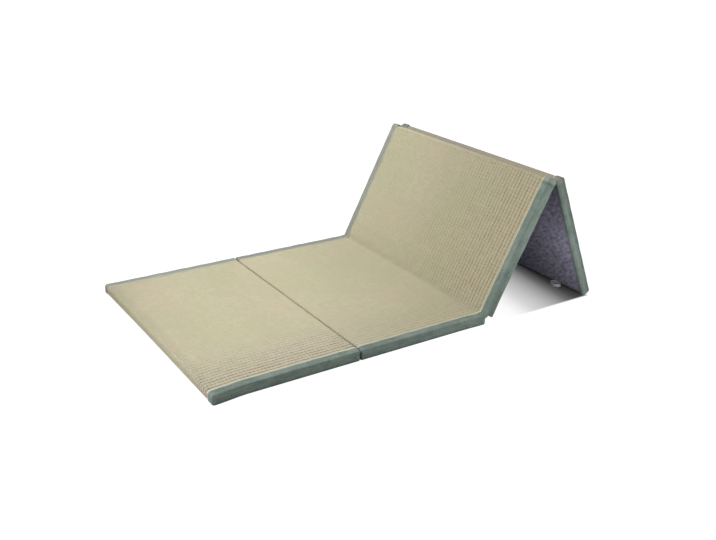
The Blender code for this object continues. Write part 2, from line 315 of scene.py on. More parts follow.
def closed_faces(rows, columns):
    """Corner numbers of the quads round a loft of closed rows, and of the cap at each of its ends."""
    caps = [[row * columns + column for row in range(rows)] for column in (0, columns - 1)]
    return grid_faces(rows, columns, closed_rows=True) + caps


def lofted(outline, y, heights, lowest=LOWEST):
    """Points of an outline repeated across the mat, pushed out by these heights but not below lowest."""
    x = outline.points[:, :1] + outline.normals[:, :1] * heights
    z = outline.points[:, 1:] + outline.normals[:, 1:] * heights
    return lie(np.stack((x, y, np.maximum(z, lowest)), 2))


def new_piece(name, points, faces, flat, values=None, sharp_above=None):
    """A mesh object from its points and faces.

    flat gives each point's place on the uncut cloth, and values are more named numbers for each.
    """
    mesh = bpy.data.meshes.new(name)
    mesh.from_pydata(np.asarray(points, float).reshape(-1, 3).tolist(), [], faces)
    layer = mesh.attributes.new("flat", "FLOAT_VECTOR", "POINT")
    layer.data.foreach_set("vector", np.asarray(flat, np.float32).ravel())
    for value_name, numbers in (values or {}).items():
        layer = mesh.attributes.new(value_name, "FLOAT", "POINT")
        layer.data.foreach_set("value", np.asarray(numbers, np.float32).ravel())
    edit = bmesh.new()
    edit.from_mesh(mesh)
    caps = [face for face in edit.faces if len(face.verts) > 4]
    bmesh.ops.triangulate(edit, faces=caps, quad_method="BEAUTY", ngon_method="BEAUTY")
    bmesh.ops.recalc_face_normals(edit, faces=edit.faces)
    edit.to_mesh(mesh)
    edit.free()
    mesh.shade_smooth()
    if sharp_above is not None:
        mesh.set_sharp_from_angle(angle=math.radians(sharp_above))
    piece = bpy.data.objects.new(name, mesh)
    bpy.context.scene.collection.objects.link(piece)
    return piece


def finish_piece(piece, material, nodes):
    piece.data.materials.append(material)
    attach(piece, "root")
    if nodes:
        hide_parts(*nodes)
    return piece


# One rib across: (part of the pitch, height in parts of the valley's depth)
RIB_PROFILE = ((0.0, -1.0), (0.16, -0.30), (0.5, 0.0), (0.84, -0.30))


def rib_columns():
    """(y, height) of the columns across the rush face: each rib has a valley and a round crown."""
    columns = []
    for rib in range(RIB_COUNT):
        for part, height in RIB_PROFILE:
            columns.append((-BODY_HALF + (rib + part) * RIB_PITCH, height * VALLEY_DEPTH))
    columns.append((BODY_HALF, -VALLEY_DEPTH))
    tongue_end = WIDTH / 2 - SIDE_ROUND
    edge = [(-tongue_end, -TONGUE_DROP), (-BODY_HALF - 0.0006, -TONGUE_DROP)]
    return np.array(edge + columns + [(-y, height) for y, height in reversed(edge)])


# panel, whether at its end, how far the soft end face swells out, how dark its far and near ends are: grey-brown up
# to 1, near black painted shade from 1 to 2
END_FACES = (
    (1, False, 0.0010, 0.0, 0.30), (1, True, 0.0014, 0.05, 0.05), (2, False, 0.0014, 0.05, 0.05),
    (3, True, 0.0080, 0.0, 0.0), (4, False, 0.0040, 1.15, 1.05), (4, True, 0.0010, 2.0, 2.0),
)
# How far the ribs stand up on each panel: (far side, near side, y where they begin to rise, y where they are highest)
RIB_RELIEF = {
    1: (0.26, 2.10, -0.16, -0.44),
    2: (0.26, 1.25, -0.12, -0.44),
    3: (0.28, 1.55, 0.22, -0.35),
    4: (0.90, 1.20, 0.45, -0.45),
}


def end_face(panels, outline):
    """Swell and darkening (far, near) of the end faces of these panels at each point of an outline: grey-brown up to
    1, near black painted shade from 1 to 2.
    """
    swell, end_darkening = np.zeros(len(outline.run)), np.zeros((len(outline.run), 2))
    for panel, at_end, height, *tints in END_FACES:
        if panel not in panels:
            continue
        u, v = in_panel(panel, outline.points)
        from_end = np.abs(PANEL_LENGTH - u) if at_end else np.abs(u)
        near = ease(0.018, 0.0, from_end) * (np.abs(v - THICKNESS / 2) < 0.6 * THICKNESS)
        swell += height * near * np.sin(math.pi * np.clip(v / THICKNESS, 0, 1)) ** 0.6
        turned_under = ease(LIP + 0.004, LIP, from_end) * ease(0.006, 0.002, v)
        face = np.maximum(ease(0.007, 0.001, from_end), turned_under) * (near > 0)
        end_darkening += face[:, None] * np.array(tints)
    return swell, np.clip(end_darkening, 0, 2)


def rib_relief(panels, outline, y):
    """How far the ribs stand up at each point of a pad."""
    reliefs = []
    for panel in panels:
        far, near, start, end = RIB_RELIEF[panel]
        reliefs.append(far + (near - far) * ease(start, end, y))
    if len(panels) == 1:
        return reliefs[0]
    crease = to_row(2, PANEL_LENGTH, THICKNESS)
    past = ease(-0.03, 0.03, outline.points[:, 0] - crease[0] + 0.3 * (outline.points[:, 1] - THICKNESS))
    return reliefs[0] + (reliefs[1] - reliefs[0]) * past[:, None]


def painted_rush_light(x, y, z):
    """Painted light and shade on the rush, as a factor on its colour: painted shade at the crease (more to the far
    side) and towards it on the lying panels, on the far side of panel 1, over the leaning panel (more at its foot, up
    it and across its middle), and at the free end's far corner and along its top edge; a little painted light at the
    free end's near corner.
    """
    crease = to_row(2, PANEL_LENGTH, THICKNESS)[0]
    from_free_end = x - CENTRE_SHIFT
    far = y / WIDTH + 0.5
    lying = 1 - ease(-0.01, 0.02, x - crease)
    tone = 1 - 0.10 * ease(0.22, 0.0, from_free_end) * far
    tone += 0.03 * ease(0.30, 0.0, from_free_end) * (1 - far)
    on_top = ease(THICKNESS - 0.008, THICKNESS - 0.002, z)
    tone -= 0.10 * ease(0.045, 0.004, from_free_end) * on_top
    first = 1 - ease(JOINT_X - 0.15, JOINT_X + 0.15, x)
    tone -= lying * (0.13 * ease(-0.60, 0.0, x - crease) + 0.18 * (far - 0.42) * first)
    rise = np.clip((z - THICKNESS) / 0.4, 0, 1)
    bend = np.exp(-((x - crease) / 0.005) ** 2) * (z > THICKNESS - 0.008)
    tone -= 0.10 * bend * ease(0.02, 0.25, far) + (1 - lying) * 0.055 * ease(0.10, 0.0, z - THICKNESS)
    middle = 1 - np.abs(2 * far - 1)
    return tone - (1 - lying) * (0.06 + 0.03 * rise + 0.05 * rise * far + 0.08 * middle)


def rush_pad(name, node, panels, corners, seed, material):
    """A firm pad in its rush matting: ribs run along the mat and turn round the panel's ends."""
    rng = np.random.default_rng(seed)
    outline = Outline(corners)
    swell, end_darkening = end_face(panels, outline)
    columns = rib_columns()
    y = np.tile(columns[:, 0], (len(outline.run), 1))
    relief = rib_relief(panels, outline, y)
    run = np.tile(outline.run[:, None], (1, len(columns)))
    inner = (np.abs(y) < BODY_HALF - 0.0005).astype(float)
    valley = np.isclose(columns[:, 1], -VALLEY_DEPTH)[None, :] * inner
    heights = np.tile(columns[:, 1], (len(outline.run), 1)) * relief
    heights = heights * (1 + 0.22 * soft_field(rng, run, y, 0.012, RIB_PITCH))
    heights += 0.00016 * soft_field(rng, run, y, 0.0065, RIB_PITCH / 2) * inner
    heights += 0.00035 * soft_field(rng, run, y, 0.09, 0.12) * inner - 0.00012 * inner
    heights -= 0.0005 * ease(BODY_HALF - 0.0065, BODY_HALF - 0.003, np.abs(y)) * inner
    sway = 0.0002 * soft_field(rng, run, y, 0.02, RIB_PITCH) * valley
    sway += 0.0011 * soft_field(rng, run, y, 0.14, 0.20) * inner
    heights = np.minimum(heights, 0.0003) * outline.show[:, None]
    heights += swell[:, None] * ease(WIDTH / 2, BODY_HALF - 0.03, np.abs(y))
    points = lofted(outline, y + sway, heights)
    near = 0.5 - y / WIDTH
    flat = np.stack((run, y, end_darkening[:, :1] * (1 - near) + end_darkening[:, 1:] * near), 2)
    leaning = ease(0.0, 0.05, points[..., 2] - THICKNESS)
    first = 1 - ease(JOINT_X, JOINT_X + 0.35, points[..., 0])
    values = {
        "relief": relief,
        # painted light and shade on the rush, as a factor on its colour
        "tone": painted_rush_light(points[..., 0], y, points[..., 2]),
        "grey": 0.4 * ease(-0.10, -0.42, y) * first,
        "warm": 0.5 * ease(0.15, -0.40, y) * leaning,
    }
    pad = new_piece(name, points, closed_faces(*y.shape), flat, values, sharp_above=60)
    finish_piece(pad, material, [node])
    return pad


def binding_outline(panel):
    rush_start, felt_start, rush_end, felt_end = END_RADII[panel]
    edge = -BINDING_PROUD
    top = THICKNESS + BINDING_PROUD
    return Outline([
        shown(edge, 0.0, felt_start), shown(PANEL_LENGTH - edge, 0.0, felt_end, END_STEP),
        shown(PANEL_LENGTH - edge, top, rush_end), shown(edge, top, rush_start, END_STEP),
    ])


def ridge_swell(panel, ring):
    """How far the thick folds of cloth stand out of the end faces that meet in the ridge."""
    if panel not in RIDGE_SWELL:
        return np.zeros(len(ring))
    from_end = np.abs(PANEL_LENGTH - ring[:, 0]) if panel == 3 else np.abs(ring[:, 0])
    through = np.clip(ring[:, 1] / THICKNESS, 0, 1) ** 1.4
    return RIDGE_SWELL[panel] * ease(0.022, 0.0, from_end) * np.sin(math.pi * through) ** 0.6


# The bridge over the crease: its reach on each panel, how high it lies, and its points along and across it
BRIDGE_REACH = 0.016
BRIDGE_LIFT = BINDING_PROUD + 0.0011
BRIDGE_COLUMNS = 17
# (how far in from the long side, how far below the bridge's top)
BRIDGE_PROFILE = (
    (0.0322, 0.0007), (0.0300, 0.0002), (0.0240, 0.0), (0.0160, -0.0002), (0.0090, 0.0), (0.0045, 0.0001),
    (0.0016, 0.0005), (0.0002, 0.0018), (-0.0006, 0.0045), (-0.0007, 0.0085), (-0.0004, 0.0130),
)


def crease_bridge(side):
    """Binding cloth that runs on over the crease from panel 2 to panel 3, with its edge turned down."""
    height = THICKNESS + BRIDGE_LIFT
    start, end = to_row(2, PANEL_LENGTH - BRIDGE_REACH, height), to_row(3, BRIDGE_REACH, height)
    fold = to_row(2, PANEL_LENGTH + FOLD_GAP / 2, height)
    parts = np.linspace(0, 1, BRIDGE_COLUMNS)[:, None]
    curved = (1 - parts) ** 2 * start + 2 * parts * (1 - parts) * fold + parts ** 2 * end
    bent = np.where(parts < 0.5, start + (fold - start) * parts * 2, fold + (end - fold) * (parts * 2 - 1))
    path = curved * 0.35 + 0.65 * bent
    way = np.gradient(path, axis=0)
    way /= np.linalg.norm(way, axis=1)[:, None]
    down = np.stack((way[:, 1], -way[:, 0]), 1)
    run = PANEL_LENGTH + (parts[:, 0] - 0.5) * 2 * BRIDGE_REACH
    turned_in = 0.0012 * np.abs(parts[:, 0] * 2 - 1) ** 6
    grid, flat = [], []
    for inward, drop in BRIDGE_PROFILE:
        places = path + down * (drop + turned_in)[:, None]
        y = np.full(BRIDGE_COLUMNS, side * (WIDTH / 2 - inward))
        grid.append(np.stack((places[:, 0], y, places[:, 1]), 1))
        across = np.full(BRIDGE_COLUMNS, inward if drop < 0.0015 else -drop)
        flat.append(np.stack((run, across, np.zeros(BRIDGE_COLUMNS)), 1))
    return np.stack(grid), np.stack(flat)


def end_distance(u):
    """How far points of a panel are from its nearer end."""
    return np.minimum(u, PANEL_LENGTH - u)


def painted_cloth_light(panel, places):
    """Painted light and shade on the binding at places (x, y, z), as a factor on its colour: a painted lightness for
    each panel, painted shade in the joint's gap and low on the sides of panels 1 and 2, a painted highlight where the
    side of panel 3 turns under and painted shade near the floor, and on panel 4 a lighter line along the middle of
    the side, darker towards its top.
    """
    tone = np.full(len(places), CLOTH_PAINTED_LIGHT[panel])
    through = in_panel(panel, places[:, ::2])[1] / THICKNESS
    if panel < 3:
        # Painted shade in the joint's gap, and low on the side by the floor
        gap = ease(0.007, 0.003, np.abs(places[:, 0] - JOINT_X)) * ease(1.0, 0.75, through)
        return tone * (1 - 0.6 * gap) * (1 - 0.30 * ease(0.40, 0.04, through))
    if panel == 3:
        # Panel 3: a painted highlight where the side turns under to the felt, and painted shade near the floor
        lightened = 0.12 * ease(0.6, 0.05, through)
        low = ease(0.30, 0.06, places[:, 2]) * ease(1.0, 0.8, through)
        return tone * (1 + lightened) * (1 - 0.30 * low)
    # Panel 4: lighter along the middle of the side, darker towards its top
    lightened = 0.26 * np.exp(-((through - 0.42) / 0.16) ** 2) - 0.16 * ease(0.6, 0.9, through)
    return tone * (1 + lightened)


def islands(edit):
    """The faces of a bmesh in groups that hang together."""
    left = set(edit.faces)
    groups = []
    while left:
        front, group = [left.pop()], []
        while front:
            face = front.pop()
            group.append(face)
            for edge in face.edges:
                for other in edge.link_faces:
                    if other in left:
                        left.discard(other)
                        front.append(other)
        groups.append(group)
    return groups


# The binding across, from its inner edge over the long side's fold to the middle of the side.
# Selvedge: (part of its width, height over the pad), then parts of the flange, turns of the fold, parts of the side
SELVEDGE_PROFILE = ((0.0, -0.0006), (0.14, -0.0001), (0.55, 0.0), (0.93, -0.0002))
FLANGE_PARTS = (0.0, 0.06, 0.28, 0.55, 0.8, 1.0)
FOLD_TURNS = (30, 60, 90)
SIDE_PARTS = (0.25, 0.5, 0.75, 1.0)
FIRST_LOOSE_ROW = 5
FIRST_SIDE_ROW = 12
# Where the line along the middle of the side begins and ends
MIDDLE_ENDS = (THICKNESS / 2, PANEL_LENGTH - THICKNESS / 2)


def binding_rows(ring, normals, under):
    """Rows of the binding across the cloth: places in the panel, how far in and how far across each is."""
    reach = TOP_FLANGE + SELVEDGE_WIDTH - (TOP_FLANGE + SELVEDGE_WIDTH - BOTTOM_FLANGE) * under
    fold = reach - SELVEDGE_WIDTH * (1 - under) - 0.0002
    snapped = np.round(np.clip(ring[:, 0], *MIDDLE_ENDS) / FACE_STEP) * FACE_STEP
    middle = np.full(ring.shape, THICKNESS / 2 + BINDING_PROUD / 2)
    middle[:, 0] = np.clip(snapped, *MIDDLE_ENDS)
    rows = []
    for part, height in SELVEDGE_PROFILE:
        inward = reach + (fold - reach) * part
        rows.append((ring + normals * (height - 0.0003 * (1 - under))[:, None], inward, inward))
    for part in FLANGE_PARTS:
        inward = fold + (SIDE_ROUND - fold) * part
        rows.append((ring - normals * (0.00035 if part == 0.0 else 0.0), inward, inward))
    for degrees in FOLD_TURNS:
        turn = math.radians(degrees)
        inset = SIDE_ROUND * (1 - math.cos(turn))
        inward = np.full(len(ring), SIDE_ROUND * (1 - math.sin(turn)))
        rows.append((ring - normals * inset, inward, inward - inset))
    rim = ring - normals * SIDE_ROUND
    for part in SIDE_PARTS:
        down = np.linalg.norm(middle - rim, axis=1) * part
        rows.append((rim + (middle - rim) * part, np.zeros(len(ring)), -SIDE_ROUND - down))
    return [np.stack(column) for column in zip(*rows)]


def binding_values(panel, side, places):
    """Named numbers of the binding's points that its material reads."""
    u = in_panel(panel, places[:, ::2])[0]
    tone = painted_cloth_light(panel, places)
    fade = np.full(len(places), FAR_FADE * (side > 0))
    if panel > 2 and side < 0:
        from_ridge = PANEL_LENGTH - u if panel == 3 else u
        lightened = ease(0.011, 0.004, from_ridge) * 0.3
        fade += lightened
        tone = tone * (1 + 0.5 * lightened) - 0.32 * np.exp(-((from_ridge - 0.014) / 0.004) ** 2) * (panel == 3)
    paler = 0.3 * ease(0.05, 0.01, end_distance(u)) * (panel < 3)
    return {"tone": tone, "fade": fade, "pale": SELVEDGE_PALE[panel] + paler}


def merge_and_face_out(mesh, side):
    """Merges points that lie together, and turns each part of the cloth outward at this long side."""
    edit = bmesh.new()
    edit.from_mesh(mesh)
    bmesh.ops.remove_doubles(edit, verts=edit.verts, dist=0.0002)
    bmesh.ops.recalc_face_normals(edit, faces=edit.faces)
    for island in islands(edit):
        if side * sum(face.normal.y * face.calc_area() for face in island) < 0:
            bmesh.ops.reverse_faces(edit, faces=island)
    edit.to_mesh(mesh)
    edit.free()


def edge_binding(panel, side, seed, material):
    """Cloth folded over one long side of a panel and tucked in round its two corners."""
    rng = np.random.default_rng(seed)
    outline = binding_outline(panel)
    ring, normals = outline.points, outline.normals
    ends = end_distance(ring[:, 0])
    under = ease(0.006, 0.0, ring[:, 1]) * ease(0.001, 0.009, ends)
    places, inward, across = binding_rows(ring, normals, under)
    count = len(places)
    number = np.arange(count)[:, None]
    run = np.tile(outline.run, (count, 1))

    # Long slow waves, gathers towards the ends, thicker corners and a soft unevenness
    loose = 0.00035 * np.sin(run * 2 * math.pi / 0.083 + 9 * (across + 0.05))
    loose += 0.00032 * ease(0.055, 0.004, ends) * np.sin(run * 2 * math.pi / 0.0105 + 2.2 * np.sin(run * 61))
    loose += 0.0009 * ease(0.020, 0.002, ends) * (1 - under) * (number >= FIRST_LOOSE_ROW)
    loose += 0.0004 * soft_field(rng, run, across, 0.022, 0.013)
    settled = ease(0.0, 0.012, ring[:, 1]) if panel < 3 else 1.0
    swell = ridge_swell(panel, ring)
    past_fold = number - FIRST_SIDE_ROW
    on_side = past_fold >= 0
    out = np.where(on_side, swell * np.maximum(0.0, 1 - (past_fold + 2) / 6), loose * settled + swell)
    crown = 0.0008 * np.sin(math.pi / 2 * np.clip((past_fold + 1) / 4, 0, 1))
    inward = inward - np.where(on_side, loose + crown, 0.0)
    moved = (places + normals * out[..., None]).reshape(-1, 2)
    row = to_row(panel, moved[:, :1], moved[:, 1:])
    points = np.stack((row[:, 0], side * (WIDTH / 2 - inward.ravel()), np.maximum(row[:, 1], LOWEST)), 1)
    flat = np.stack((run, across, np.tile(under, (count, 1))), 2).reshape(-1, 3)
    faces = grid_faces(count, len(ring), closed_columns=True)
    if panel == 2:
        bridge, bridge_flat = crease_bridge(side)
        faces += [[corner + len(points) for corner in face] for face in grid_faces(*bridge.shape[:2])]
        points = np.vstack((points, bridge.reshape(-1, 3)))
        flat = np.vstack((flat, bridge_flat.reshape(-1, 3)))
    name = f"binding_{panel}_{'near' if side < 0 else 'far'}"
    cloth = new_piece(name, lie(points), faces, flat, binding_values(panel, side, points))
    merge_and_face_out(cloth.data, side)
    solidify = cloth.modifiers.new("cloth thickness", "SOLIDIFY")
    solidify.thickness = CLOTH_THICKNESS
    solidify.offset = -1.0
    finish_piece(cloth, material, [f"edge_{name}"])
    return cloth


def felt_outline(node):
    start, thick = LIP + CLEARANCE, FELT_THICKNESS
    if node == "felt_back_1_2":
        end = PANEL_PITCH + PANEL_LENGTH - LIP - CLEARANCE
        first = shown(start, 0.0, step=FLAT_FELT_STEP)
        return in_row(1, [first, hidden(end, 0.0), hidden(end, thick), hidden(start, thick)])
    end, ridge = PANEL_LENGTH - LIP - CLEARANCE, PANEL_LENGTH + FOLD_GAP / 2
    outer = ridge + thick / math.tan((math.pi - LEAN_ANGLE - DROP_ANGLE) / 2)
    corners = in_row(3, [shown(start, 0.0, step=TENT_FELT_STEP), shown(ridge, 0.0, step=TENT_FELT_STEP)])
    corners += in_row(4, [hidden(end, 0.0), hidden(end, thick)])
    return corners + in_row(3, [hidden(outer, thick, thick), hidden(start, thick)])


FELT_COLUMNS = 144


def felt_back(name, node, seed, material):
    """Thick fibre felt, sewn on as the mat's back."""
    rng = np.random.default_rng(seed)
    outline = Outline(felt_outline(node))
    half = WIDTH / 2 - BOTTOM_FLANGE - CLEARANCE
    columns = np.linspace(-half, half, FELT_COLUMNS)
    y = np.tile(columns, (len(outline.run), 1))
    run = np.tile(outline.run[:, None], (1, len(columns)))
    slanted = (run * math.cos(FELT_SLANT) + y * math.sin(FELT_SLANT)) / FELT_STRETCH
    upright = y * math.cos(FELT_SLANT) - run * math.sin(FELT_SLANT)
    lumps = 0.0005 * soft_field(rng, slanted, upright, 0.009, 0.009) + 0.0005 * soft_field(rng, run, y, 0.06, 0.05)
    points = lofted(outline, y, (lumps - 0.0010) * outline.show[:, None], 2 * LOWEST)
    flat = np.stack((slanted, upright, np.zeros_like(y)), 2)
    felt = new_piece(name, points, closed_faces(*y.shape), flat, sharp_above=50)
    return finish_piece(felt, material, [node])


# Half of the tape's thickness, and where its points lie up its height
TAPE_HALF = 0.0008
TAPE_PARTS = (0.0, 0.12, 0.3, 0.5, 0.7, 0.88, 1.0)


def loop_of_tape(material):
    """A loop of woven tape on edge, sewn in under the felt's end at the foot of panel 4."""
    (start_x, start_z), angle = PLACES[4]
    face_x = start_x + (LOOP_LIFT + LOOP_HEIGHT - start_z) / math.tan(angle)
    centre = np.array((face_x - LOOP_CENTRE_OUT, LOOP_Y))
    section = [(TAPE_HALF * (1.0 if 0.05 < part < 0.95 else 0.45), part) for part in TAPE_PARTS]
    section += [(-offset, part) for offset, part in reversed(section)]
    points, flats = [], []
    turns = np.radians(np.arange(0, 360, 4))
    for turn in turns:
        around = np.array((math.cos(turn), math.sin(turn)))
        way = unit(around / (LOOP_SEMI_DEPTH, LOOP_SEMI_WIDTH))
        base = centre + around * (LOOP_SEMI_DEPTH - TAPE_HALF, LOOP_SEMI_WIDTH - TAPE_HALF)
        lean = 0.0010 * math.sin(2 * turn + 0.7)
        for offset, part in section:
            z = LOOP_LIFT + LOOP_HEIGHT * part
            place = base + way * (offset + lean * (part - 0.5))
            felt_face = start_x + (z - start_z) / math.tan(angle)
            x = min(place[0], felt_face - (0.0006 if offset < 0 else 0.0003))
            points.append((x, place[1], z))
            flats.append((turn * 0.0185, part * LOOP_HEIGHT, 0.0))
    faces = grid_faces(len(turns), len(section), closed_rows=True, closed_columns=True)
    loop = new_piece("loop_of_tape", lie(np.array(points)), faces, flats)
    return finish_piece(loop, material, ["loop_tab"])


# Shader wiring

def new_node(tree, kind, feeds=None, **settings):
    node = tree.nodes.new("ShaderNode" + kind)
    for key, value in settings.items():
        setattr(node, key, value)
    for key, value in (feeds or {}).items():
        feed(node.inputs[key], value)
    return node


def feed(socket, value):
    """Joins a socket to a signal or sets it to a constant; a colour is given as red, green and blue."""
    if isinstance(value, Signal):
        socket.id_data.links.new(value.socket, socket)
    elif socket.type == "RGBA":
        socket.default_value = (*value, 1.0)
    else:
        socket.default_value = value


class Signal:
    """What a node puts out. Each step of reckoning with it adds a node to its tree."""

    def __init__(self, socket):
        self.socket = socket

    def through(self, kind, feeds, output=0, **settings):
        """What a new node in this signal's tree puts out."""
        return Signal(new_node(self.socket.id_data, kind, feeds, **settings).outputs[output])

    def math(self, operation, other=0.0, clamp=False):
        return self.through("Math", {0: self, 1: other}, operation=operation, use_clamp=clamp)

    def __add__(self, other):
        return self.math("ADD", other)

    def __sub__(self, other):
        return self.math("SUBTRACT", other)

    def __mul__(self, other):
        return self.math("MULTIPLY", other)

    def __truediv__(self, other):
        return self.math("DIVIDE", other)

    def __mod__(self, other):
        return self.math("FLOORED_MODULO", other)

    def __abs__(self):
        return self.math("ABSOLUTE")

    def arch(self):
        """The sine of this many half turns."""
        return (self * math.pi).math("SINE")

    def whole_and_part(self):
        return self.math("FLOOR"), self.math("FRACT")

    def ease(self, low, high, to_low=0.0, to_high=1.0):
        """This number between low and high eased to between to_low and to_high."""
        feeds = {0: self, 1: low, 2: high, 3: to_low, 4: to_high}
        return self.through("MapRange", feeds, interpolation_type="SMOOTHSTEP")

    def pick(self, a, b):
        """The number that is this factor of the way from a to b."""
        return self.through("Mix", {0: self, 2: a, 3: b})

    def blend(self, a, b):
        """The colour that is this factor of the way from a to b."""
        return self.through("Mix", {0: self, 6: a, 7: b}, output=2, data_type="RGBA")

    def split(self, kind="SeparateXYZ"):
        return [Signal(socket) for socket in new_node(self.socket.id_data, kind, {0: self}).outputs]

    def shifted(self, shift):
        return self.through("VectorMath", {0: self, 1: shift}, operation="ADD")

    def scaled(self, factor):
        return self.through("VectorMath", {0: self, "Scale": factor}, operation="SCALE")

    def noise(self, scale, detail=2.0, roughness=0.5, output=0):
        feeds = {"Vector": self, "Scale": scale, "Detail": detail, "Roughness": roughness}
        return self.through("TexNoise", feeds, output)

    def bump(self, distance, strength):
        return self.through("Bump", {"Height": self, "Distance": distance, "Strength": strength})

    def ramp(self, stops, interpolation="LINEAR"):
        """The colour on a ramp of stops, each a position and a colour."""
        node = new_node(self.socket.id_data, "ValToRGB", {0: self})
        node.color_ramp.interpolation = interpolation
        elements = node.color_ramp.elements
        while len(elements) < len(stops):
            elements.new(0.5)
        for element, (position, colour) in zip(elements, stops):
            element.position = position
            element.color = (*colour, 1.0)
        return Signal(node.outputs[0])


def vector(*values):
    """Numbers as one vector. At least one of them is a signal."""
    signal = next(value for value in values if isinstance(value, Signal))
    return signal.through("CombineXYZ", dict(enumerate(values)))


def chance(*values):
    """A random number for these three."""
    place = vector(*values)
    return place.through("TexWhiteNoise", {"Vector": place}, noise_dimensions="3D")


def source(tree, kind, output, **settings):
    """What a node that takes no inputs puts out."""
    return Signal(new_node(tree, kind, **settings).outputs[output])


def held(tree, name, output="Fac"):
    """What each point of the mesh holds under this name."""
    return source(tree, "Attribute", output, attribute_name=name)


def shader_group(name, inputs, outputs):
    """A new shader node group with named sockets: a place and some numbers in, numbers out.

    Returns its tree, what it is given and its outputs to feed.
    """
    tree = bpy.data.node_groups.new(name, "ShaderNodeTree")
    tree.interface.new_socket(name="Place", in_out="INPUT", socket_type="NodeSocketVector")
    for socket, value in inputs.items():
        made = tree.interface.new_socket(name=socket, in_out="INPUT", socket_type="NodeSocketFloat")
        made.default_value = value
    for socket in outputs:
        tree.interface.new_socket(name=socket, in_out="OUTPUT", socket_type="NodeSocketFloat")
    given = tree.nodes.new("NodeGroupInput").outputs[:len(inputs) + 1]
    return tree, [Signal(socket) for socket in given], tree.nodes.new("NodeGroupOutput").inputs


def use(group, place, *values):
    """What a group puts out, by name, when it is given a place and its other inputs in their order."""
    node = new_node(place.socket.id_data, "Group", dict(enumerate((place, *values))), node_tree=group)
    return {socket.name: Signal(socket) for socket in node.outputs}


def make_drift_group():
    """Slow change of tone over a cloth, from 0 to High, with a finer drift on top."""
    tree, (place, scale, high), out = shader_group("tone drift", {"Scale": 8.0, "High": 1.0}, ["Value"])
    both = place.noise(scale, 3.0) * 0.7 + place.noise(scale * 6.3, 2.0) * 0.3
    feed(out["Value"], both.ease(0.36, 0.64) * high)
    return tree


def make_weave_group():
    """Plain weave: threads of one pitch both ways, each passing over and under in turn."""
    tree, (place, pitch, uneven), out = shader_group(
        "plain weave", {"Pitch": 0.0008, "Uneven": 0.15}, ["Height", "Warp", "Thread tone"],
    )
    x, y, _ = place.split()
    sway = (place.noise(90.0, 2.0) - 0.5) * uneven
    x, y = x / pitch + sway * 8.0, y / pitch + sway * -8.0
    column, row = x.math("FLOOR"), y.math("FLOOR")
    warp_over = (column + row) % 2.0
    round_warp, round_weft = abs(x.arch()), abs(y.arch())
    both = round_warp * round_weft * 0.4
    feed(out["Height"], warp_over.pick(round_weft * 0.6 + both, round_warp * 0.6 + both))
    feed(out["Warp"], warp_over)
    feed(out["Thread tone"], warp_over.pick(chance(7.0, row, 0.5), chance(column, 3.0, 0.5)))
    return tree


def make_fibre_group():
    """Short fibres strewn over a face: where one lies, and a random tone for each."""
    tree, (place, scale, share, stretch), out = shader_group(
        "strewn fibres", {"Scale": 300.0, "Share": 0.2, "Stretch": 4.0}, ["Mask", "Tone"],
    )
    bend = place.noise(55.0, 1.0, output=1)
    x, y, z = place.shifted(bend.scaled(0.02)).split()
    cells = new_node(tree, "TexVoronoi", {"Vector": vector(x / stretch, y, z), "Scale": scale}).outputs
    drawn, tone, _ = Signal(cells["Color"]).split("SeparateColor")
    near = Signal(cells["Distance"]).ease(0.18, 0.34, 1.0, 0.0)
    feed(out["Mask"], drawn.math("LESS_THAN", share) * near)
    feed(out["Tone"], tone)
    return tree


def new_material(name, roughness, sheen, specular):
    """A new material. Returns it with its tree and its shader's sockets."""
    material = bpy.data.materials.new(name)
    material.use_nodes = True
    shader = material.node_tree.nodes["Principled BSDF"].inputs
    shader["Roughness"].default_value = roughness
    shader["Sheen Weight"].default_value = sheen
    shader["Specular IOR Level"].default_value = specular
    return material, material.node_tree, shader


# The rush: width of a stem and of a bunch of stems along the mat
STEM_PITCH = 0.00135
BUNCH_PITCH = 0.0125
RUSH_DEEP, RUSH_PALE = (0.53, 0.485, 0.325), (0.58, 0.54, 0.38)
RUSH_PINK, RUSH_GREEN = (0.565, 0.480, 0.35), (0.49, 0.49, 0.30)
RUSH_END_GREY_BROWN, RUSH_PAINTED_SHADE = (0.41, 0.365, 0.29), (0.07, 0.065, 0.065)
RUSH_GREY, RUSH_WARM = (0.56, 0.495, 0.40), (0.535, 0.460, 0.300)


